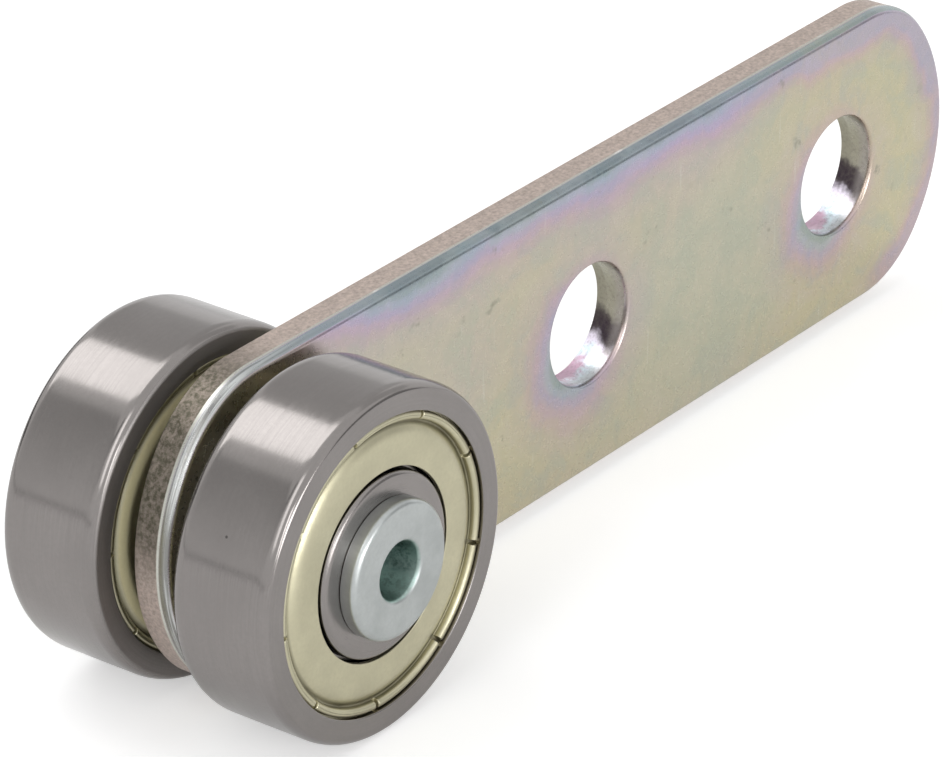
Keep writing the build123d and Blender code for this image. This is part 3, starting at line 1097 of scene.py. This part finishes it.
def mark_plate(mesh, size, outline, front, back):
    """Writes on the mesh each point's distance from the outline and from the fixing
    holes, in millimetres, and marks the torn edge and the fixing holes' walls. The film
    is thinnest round a place a little low and towards the axle from each hole's centre."""
    place = np.empty(len(mesh.vertices) * 3)
    mesh.vertices.foreach_get("co", place)
    place = place.reshape(-1, 3)
    across = place[:, None, [0, 2]]
    y = place[:, 1]
    to_rim = np.sum((across - np.concatenate(outline.runs(0.0))[None]) ** 2, axis=-1)
    centres = np.array([[size.first_hole, 0.0], [size.first_hole + size.hole_spacing, 0.0]])
    film_centres = centres - [1.2 * MM, 1.0 * MM]
    to_film = np.min(np.linalg.norm(across - film_centres[None], axis=-1), axis=1)
    to_hole = np.min(np.linalg.norm(across - centres[None], axis=-1), axis=1)
    in_bore = (to_hole < size.hole_radius + 0.12 * MM) & (y > front + 0.3 * MM)
    on_edge = (y > front + size.roll_depth + 0.1 * MM) & (y < back - 0.01 * MM)
    layers = {
        "rim_distance": np.sqrt(np.min(to_rim, axis=1)) / MM,
        "hole_distance": (to_film - size.hole_radius) / MM,
        "torn_edge": on_edge & ~in_bore | in_bore & (y > 0.45 * MM),
        "bore_wall": in_bore,
    }
    for label, values in layers.items():
        layer = mesh.attributes.new(label, "FLOAT", "POINT")
        layer.data.foreach_set("value", values.astype(np.float32))
    mesh.update()


def flat_patch(loop, away, centre, radius, y):
    """Flat part of the plate from a hole's rim to a closed outline round it: each outline
    point is joined to the rim point of the same number, and the rows lie at shares of
    that way that crowd at both ends."""
    rim = centre + away * radius
    share = (1 - np.cos(np.linspace(0, pi, PATCH_ROWS))) / 2
    flat = rim[None] * (1 - share[:, None, None]) + loop[None] * share[:, None, None]
    return np.stack([flat[..., 0], np.full(flat.shape[:2], y), flat[..., 1]], axis=-1)


def hole_wall(away, centre, profile):
    """Wall of a hole: rows of radius and place along the axle, with the same directions
    as the patches round the hole."""
    ring = centre[None, None] + away[None] * profile[:, 0][:, None, None]
    y = np.broadcast_to(profile[:, 1][:, None], ring.shape[:2])
    return np.stack([ring[..., 0], y, ring[..., 1]], axis=-1)


class ROLLER_OT_strap(bpy.types.Operator):
    """Builds the blanked and plated strap with its three holes"""

    bl_idname = "roller.strap"
    bl_label = "Strap"

    def execute(self, context):
        size = context.scene.roller_strap
        front = -size.thickness / 2
        back = size.thickness / 2
        outline = StrapOutline(size)
        profile = edge_profile(size, front, back)
        rows = [(np.concatenate(outline.runs(inset)), y) for inset, y in profile]
        patches = [np.stack([np.insert(row, 1, y, axis=1) for row, y in rows])]
        # Place, radius, and height and depth of the front rim's rounding
        holes = (
            (0.0, WASHER_BORE, 0.1 * MM, 0.1 * MM),
            (size.first_hole, size.hole_radius, 0.2 * MM, 0.4 * MM),
            (size.first_hole + size.hole_spacing, size.hole_radius, 0.2 * MM, 0.4 * MM),
        )
        loops = zip(holes, outline.cells(profile[0, 0]), outline.cells(profile[-1, 0]))
        for (x, radius, rim_height, rim_depth), front_loop, back_loop in loops:
            centre = np.array([x, 0.0])
            away = front_loop - centre
            away /= np.linalg.norm(away, axis=1, keepdims=True)
            wall = hole_profile(radius, rim_height, rim_depth, front, back)
            patches.append(flat_patch(front_loop, away, centre, wall[0, 0], front))
            patches.append(flat_patch(back_loop, away, centre, wall[-1, 0], back))
            patches.append(hole_wall(away, centre, wall))
        mesh = sewn_mesh("strap_plate", patches)
        mark_plate(mesh, size, outline, front, back)
        material = plated_strap("Passivated Zinc Strap", size)
        piece = link_object("strap_plate", mesh)
        finish_piece(piece, "strap_and_axle", "zinc_strap", material, "strap")
        return {"FINISHED"}


class ROLLER_OT_outer_rings(bpy.types.Operator):
    """Builds the two outer rings with rounded corners, ball track and shield seats"""

    bl_idname = "roller.outer_rings"
    bl_label = "Outer rings"

    def execute(self, context):
        size = context.scene.roller_bearing
        material = ground_steel("Ground Steel Outer Ring", tuple(size.ring_colour))
        for side, _ in SIDES:
            node = f"{side}_outer_ring"
            low, high = depth_of(node)
            half = (high - low) / 2
            outer = span_of(node)
            seat = outer - 1.7 * MM
            land = outer - 2.55 * MM
            groove = seat + SEAT_GROOVE_DEEP
            fine = (FINE_CORNER, FINE_CORNER)
            soft = (0.5 * MM, 0.5 * MM)
            rows = [
                (0.0, outer, size.corner_width, size.corner_height),
                (0.0, seat, 0.09 * MM, 0.09 * MM),
                (SEAT_LIP, seat, *fine),
                (SEAT_LIP, groove, *fine),
                (SEAT_GROOVE_END, groove, *fine),
                (SEAT_GROOVE_END, seat, *fine),
                (SEAT_END, seat, *fine),
                (SEAT_END, land, *fine),
                (half - TRACK_HALF_WIDTH, land, *fine),
                (half - TRACK_FLANK, land + 0.66 * MM, *soft),
                (half, land + 0.88 * MM, *soft),
            ]
            section = rounded_section(alike_both_ways(high, low, rows), steps=11)
            piece = turned_piece(f"{side}_tread_ring", section)
            finish_piece(piece, f"{side}_wheel", "ring_steel", material, node)
        return {"FINISHED"}


class ROLLER_OT_inner_rings(bpy.types.Operator):
    """Builds the two inner rings that are clamped on the axle"""

    bl_idname = "roller.inner_rings"
    bl_label = "Inner rings"

    def execute(self, context):
        size = context.scene.roller_bearing
        colour = shade(tuple(size.ring_colour), 1.05)
        material = ground_steel("Ground Steel Inner Ring", colour, 0.22)
        step = 5.74 * MM
        land = 6.0 * MM
        fine = (FINE_CORNER, FINE_CORNER)
        soft = (0.5 * MM, 0.5 * MM)
        for side, _ in SIDES:
            node = f"{side}_inner_ring"
            low, high = depth_of(node)
            half = (high - low) / 2
            rows = [
                (0.0, 3.5 * MM, 0.3 * MM, 0.3 * MM),
                (0.0, step, 0.38 * MM, 0.32 * MM),
                (SEAT_END, step, *fine),
                (SEAT_END, land, *fine),
                (half - TRACK_HALF_WIDTH, land, *fine),
                (half - TRACK_FLANK, land - 0.60 * MM, *soft),
                (half, land - 0.85 * MM, *soft),
            ]
            section = rounded_section(alike_both_ways(low, high, rows))
            piece = turned_piece(f"{side}_bore_ring", section)
            finish_piece(piece, "strap_and_axle", "ring_steel", material, node)
        return {"FINISHED"}


class ROLLER_OT_shields(bpy.types.Operator):
    """Builds the four pressed shields with their curled and slit edges"""

    bl_idname = "roller.shields"
    bl_label = "Shields"

    def execute(self, context):
        size = context.scene.roller_bearing
        material = pressed_sheet("Pressed Shield Sheet", tuple(size.shield_colour))
        sector = 2 * pi / size.slit_count
        curl_radius = 9.0 * MM
        half_slit = size.slit_width / 2 / curl_radius
        blend = 0.05 * MM / curl_radius
        # The columns crowd at the edges of each slit, so that its walls are steep
        near = np.array([0.0, 0.55, 0.8, 1.0]) * half_slit
        shoulder = half_slit + blend * np.array([0.33, 0.66, 1.0, 1.6])
        far = np.linspace(half_slit + 4 * blend, sector / 2, 11)
        right = np.concatenate([near, shoulder, far])
        left = -np.concatenate([near[1:], shoulder, far[:-1]])[::-1]
        one_sector = np.concatenate([left, right])
        angles = (np.arange(size.slit_count)[:, None] * sector + one_sector[None]).ravel()

        # Depth from the shield's outer face, radius and two reaches, in millimetres
        fine = 0.03
        valley = 0.60
        corners = [
            (0.20, 5.97, 0.06, 0.06),
            (0.20, 7.95, 0.55, 0.42),
            (valley, 8.54, 0.22, 0.07),
            (valley, 8.68, 0.07, 0.06),
            (0.16, 8.76, 0.22, 0.22),
            (0.16, 9.23, 0.24, 0.18),
            (0.49, 9.23, fine, fine),
            (0.49, 9.47, fine, fine),
            (0.75, 9.47, fine, fine),
            (0.90, 8.78, fine, fine),
            (0.90, 8.30, 0.1, 0.1),
            (0.50, 8.02, 0.15, 0.15),
            (0.50, 5.97, fine, fine),
        ]
        section = rounded_section(np.array(corners) * MM, steps=8)
        depth, radius = section.T
        on_curl = (radius > 8.70 * MM) & (depth < 0.5 * MM)
        on_curl |= (radius > 8.66 * MM) & (radius < 8.80 * MM) & (depth < 0.63 * MM)
        drop = np.where(on_curl, np.maximum(valley * MM - depth, 0), 0)

        for side, outward in SIDES:
            start = size.slit_start if outward < 0 else size.slit_start - radians(8.0)
            for place, facing in (("outboard", outward), ("inboard", -outward)):
                node = f"{side}_{place}_shield"
                low, high = depth_of(node)
                end = (high if facing > 0 else low) + facing * 0.2 * MM
                turned = np.stack([end - facing * depth, radius], axis=1)

                def lower(t):
                    """Sinks the curl to the valley's floor inside each slit: the way down
                    from each point is scaled by a smooth step of the angle's distance
                    from the nearest slit."""
                    off = np.abs((t - start + sector / 2) % sector - sector / 2)
                    ramp = np.clip((half_slit + blend - off) / blend, 0, 1)
                    return -facing * drop[:, None] * ramp * ramp * (3 - 2 * ramp)

                piece = turned_piece(f"{side}_{place}_cover", turned, angles + start, lower)
                finish_piece(piece, f"{side}_wheel", "shield_steel", material, node)
        return {"FINISHED"}


class ROLLER_OT_axle_rivet(bpy.types.Operator):
    """Builds the axle rivet with its flat head, blind centre hole and closed head"""

    bl_idname = "roller.axle_rivet"
    bl_label = "Axle rivet"

    def execute(self, context):
        size = context.scene.roller_axle
        low, high = depth_of("axle_rivet")
        front_face = depth_of("front_inner_ring")[0]
        rear_face = depth_of("rear_inner_ring")[1]
        shank = 3.47 * MM
        closed = 4.4 * MM
        past_axle = -2.0 * MM
        floor = low + size.hole_depth
        fine = (FINE_CORNER, FINE_CORNER)
        corners = [
            (floor + 0.3 * MM, past_axle, *fine),
            (floor + 0.3 * MM, 0.0, *fine),
            (floor, 1.15 * MM, 0.35 * MM, 0.35 * MM),
            (low + 1.0 * MM, size.hole_radius - 0.22 * MM, 0.4 * MM, 0.4 * MM),
            (low, size.hole_radius, 0.26 * MM, 0.24 * MM),
            (low, size.head_radius, size.head_edge, size.head_edge),
            (front_face, size.head_radius, 0.1 * MM, 0.1 * MM),
            (front_face, shank, *fine),
            (rear_face, shank, *fine),
            (rear_face, closed, 0.1 * MM, 0.1 * MM),
            (high - 0.3 * MM, closed, 0.25 * MM, 0.3 * MM),
            (high, 2.4 * MM, 0.8 * MM, 0.8 * MM),
            (high, past_axle, *fine),
        ]
        rounded = rounded_section(corners, steps=9)
        kept = rounded[rounded[:, 1] > 0.05 * MM]
        section = np.concatenate([[[floor + 0.29 * MM, 0.0]], kept, [[high, 0.0]]])
        piece = poled_piece("axle_pin", section)
        material = zinc_rivet("Zinc Rivet", tuple(size.rivet_colour), size.hole_radius)
        finish_piece(piece, "strap_and_axle", "zinc_rivet", material, "axle_rivet")
        return {"FINISHED"}


class ROLLER_OT_spacers(bpy.types.Operator):
    """Builds the spacer washers between the strap and the bearings"""

    bl_idname = "roller.spacers"
    bl_label = "Spacers"

    def execute(self, context):
        size = context.scene.roller_axle
        material = ground_steel("Turned Spacer Steel", tuple(size.spacer_colour), 0.28)
        edge = (0.18 * MM, 0.18 * MM)
        mouth = (0.05 * MM, 0.05 * MM)
        for side, _ in SIDES:
            node = f"{side}_spacer"
            low, high = depth_of(node)
            outer = span_of(node)
            corners = [
                (low, WASHER_BORE, *mouth),
                (low, outer, *edge),
                (high, outer, *edge),
                (high, WASHER_BORE, *mouth),
            ]
            piece = turned_piece(f"{side}_washer", rounded_section(corners))
            finish_piece(piece, "strap_and_axle", "washer_steel", material, node)
        return {"FINISHED"}


class ROLLER_OT_balls_and_cages(bpy.types.Operator):
    """Gives the balls, the cages and the cage rivets their finishes"""

    bl_idname = "roller.balls_and_cages"
    bl_label = "Balls and cages"

    def execute(self, context):
        lapped = ball_steel("Lapped Ball Steel")
        ribbon = pressed_sheet("Cage Ribbon Steel", (0.42, 0.41, 0.38))
        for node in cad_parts:
            if "_ball_" in node:
                dress_node(node, lapped)
            elif "_cage_" in node:
                dress_node(node, ribbon)
        return {"FINISHED"}


# The stage

# Grey cards: name, centre, width, height, and the glow at the lower and the upper edge
CARDS = (
    ("card_back_left", (-0.40, 0.36, 0.265), 0.52, 0.50, 0.95, 0.55),
    ("card_horizon", (-0.52, 0.40, -0.002), 1.20, 0.055, 0.62, 0.62),
    ("card_back", (0.09, 0.62, 0.05), 0.50, 0.16, 0.12, 0.12),
    ("card_back_right", (0.40, 0.34, 0.40), 0.40, 0.50, 0.74, 0.74),
    ("card_left_top", (-0.52, 0.165, 0.48), 0.09, 0.50, 0.3, 0.3),
    ("card_right", (0.46, -0.05, 0.44), 0.34, 0.40, 0.72, 0.72),
    ("card_front_right", (0.42, -0.46, 0.16), 0.50, 0.34, 0.38, 0.38),
)
# Soft lamps: name, place, width, height, and power in watts
LAMPS = (
    ("lamp_top", (0.02, 0.40, 0.58), 0.32, 0.60, 1.1),
    ("lamp_front", (-0.10, -0.66, 0.12), 0.34, 0.26, 1.3),
    ("lamp_front_left", (-0.42, -0.52, 0.28), 0.14, 0.34, 0.55),
    ("lamp_left", (-0.51, -0.08, 0.50), 0.17, 0.58, 0.56),
    ("lamp_left_strip", (-0.60, 0.235, 0.31), 0.05, 0.30, 0.09),
)
# The floor's half side in metres, and how much it glows where it is looked at
FLOOR_HALF = 1.6
FLOOR_GLOW = 0.22
SQUARE = ((-1, -1), (1, -1), (1, 1), (-1, 1))


def node_bench_of(holder):
    """Turns nodes on in a material or a world. Returns a bench for its tree."""
    holder.use_nodes = True
    return NodeBench(holder.node_tree)


def rays_that_see(bench):
    """Marks the rays that look at the background: those from the camera, and those that
    come from a mirror or through glass. Returns the camera's mark and the whole one."""
    path = bench.node("LightPath").outputs
    seen = bench.math("MAXIMUM", path["Is Camera Ray"], path["Is Glossy Ray"])
    return path["Is Camera Ray"], bench.math("MAXIMUM", seen, path["Is Transmission Ray"])


def flat_card(name, corners, material):
    """Makes one flat face that belongs to the stage."""
    mesh = bpy.data.meshes.new(name)
    mesh.from_pydata([tuple(corner) for corner in corners], [], [(0, 1, 2, 3)])
    mesh.materials.append(material)
    card = link_object(name, mesh)
    card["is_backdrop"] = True
    return card


def glowing_grey(name, bottom, top, low, high):
    """Grey that glows from one level at the card's lower edge to another at its upper
    one."""
    material = bpy.data.materials.new(name)
    bench = node_bench_of(material)
    bench.tree.nodes.clear()
    level = bench.span(bench.place()[3], low, high, bottom, top)
    glow = bench.node("Emission", {"Strength": level})
    bench.node("OutputMaterial", {"Surface": glow.outputs[0]})
    return material


class ROLLER_OT_stage(bpy.types.Operator):
    """Sets up the pale floor, the soft lamps, the grey cards and the camera"""

    bl_idname = "roller.stage"
    bl_label = "Stage"

    def execute(self, context):
        scene = context.scene
        size = scene.roller_stage
        scene.view_settings.view_transform = "Standard"

        scene.world = bpy.data.worlds.new("Studio White")
        bench = node_bench_of(scene.world)
        backdrop = bench.tree.nodes["Background"].inputs
        bench.feed(backdrop["Color"], (1.0, 1.0, 1.0))
        _, seen = rays_that_see(bench)
        bench.feed(backdrop["Strength"], bench.math("MULTIPLY_ADD", seen, 0.4, 0.6))

        paper = bpy.data.materials.new("Pale Paper Floor")
        bench = node_bench_of(paper)
        shader = bench.tree.nodes["Principled BSDF"].inputs
        bench.feed(shader["Base Color"], tuple(size.floor_colour))
        bench.feed(shader["Roughness"], 0.9)
        bench.feed(shader["Specular IOR Level"], 0.0)
        bench.feed(shader["Emission Color"], (1.0, 1.0, 1.0))
        from_camera, seen = rays_that_see(bench)
        glow = bench.math("MULTIPLY_ADD", from_camera, FLOOR_GLOW, bench.times(seen, FLOOR_GLOW))
        bench.feed(shader["Emission Strength"], glow)
        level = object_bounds()[0][2]
        flat_card("floor", [(x * FLOOR_HALF, y * FLOOR_HALF, level) for x, y in SQUARE], paper)

        for name, centre, width, height, bottom, top in CARDS:
            middle = Vector(centre)
            way = -middle.normalized()
            across = way.cross(Vector((0, 0, 1))).normalized()
            up = across.cross(way)
            corners = [middle + across * (x * width / 2) + up * (z * height / 2) for x, z in SQUARE]
            heights = [corner.z for corner in corners]
            grey = glowing_grey(name, bottom, top, min(heights), max(heights))
            card = flat_card(name, corners, grey)
            card.visible_camera = False
            card.visible_diffuse = False
            card.visible_shadow = False

        for name, place, width, height, power in LAMPS:
            data = bpy.data.lights.new(name, "AREA")
            data.shape = "RECTANGLE"
            data.size = width
            data.size_y = height
            data.energy = power * size.lamp_power
            lamp = link_object(name, data)
            lamp.location = place
            lamp.rotation_euler = (-Vector(place)).to_track_quat("-Z", "Y").to_euler()

        turn, rise, roll = size.azimuth, size.elevation, size.roll
        back = Vector((sin(turn) * cos(rise), -cos(turn) * cos(rise), sin(rise)))
        right = Vector((cos(turn), sin(turn), 0.0))
        up = back.cross(right)
        tilted_right = right * cos(roll) + up * sin(roll)
        tilted_up = up * cos(roll) - right * sin(roll)
        data = bpy.data.cameras.new("photo_camera")
        data.sensor_width = 36.0
        data.lens = size.lens
        data.clip_start = 0.01
        data.clip_end = 10.0
        camera = link_object("photo_camera", data)
        place = Vector(size.target) + back * size.distance
        turned = Matrix((tilted_right, tilted_up, back)).transposed().to_4x4()
        camera.matrix_world = Matrix.Translation(place) @ turned
        scene.camera = camera
        return {"FINISHED"}


class ROLLER_PT_panel(bpy.types.Panel):
    """Lists the pieces of the roller wheel in the order they are built"""

    bl_label = "Roller Wheel"
    bl_idname = "ROLLER_PT_panel"
    bl_space_type = "VIEW_3D"
    bl_region_type = "UI"
    bl_category = "Roller Wheel"

    def draw(self, context):
        column = self.layout.column()
        for step in STEPS:
            column.operator(step.bl_idname)


SETTINGS = (
    ("roller_strap", RollerStrapSettings),
    ("roller_bearing", RollerBearingSettings),
    ("roller_axle", RollerAxleSettings),
    ("roller_stage", RollerStageSettings),
)
STEPS = (
    ROLLER_OT_stage,
    ROLLER_OT_strap,
    ROLLER_OT_outer_rings,
    ROLLER_OT_inner_rings,
    ROLLER_OT_shields,
    ROLLER_OT_axle_rivet,
    ROLLER_OT_spacers,
    ROLLER_OT_balls_and_cages,
)


def register():
    """Registers the settings, the operators and the panel."""
    for label, group in SETTINGS:
        bpy.utils.register_class(group)
        setattr(bpy.types.Scene, label, PointerProperty(type=group))
    for step in STEPS:
        bpy.utils.register_class(step)
    bpy.utils.register_class(ROLLER_PT_panel)


def unregister():
    """Takes back what register did."""
    bpy.utils.unregister_class(ROLLER_PT_panel)
    for step in reversed(STEPS):
        bpy.utils.unregister_class(step)
    for label, group in reversed(SETTINGS):
        delattr(bpy.types.Scene, label)
        bpy.utils.unregister_class(group)


def main():
    """Builds the scene."""
    register()
    turned_lines_group()
    mottle_group()
    for step in STEPS:
        family, label = step.bl_idname.split(".")
        getattr(getattr(bpy.ops, family), label)()


if __name__ == "__main__":
    main()
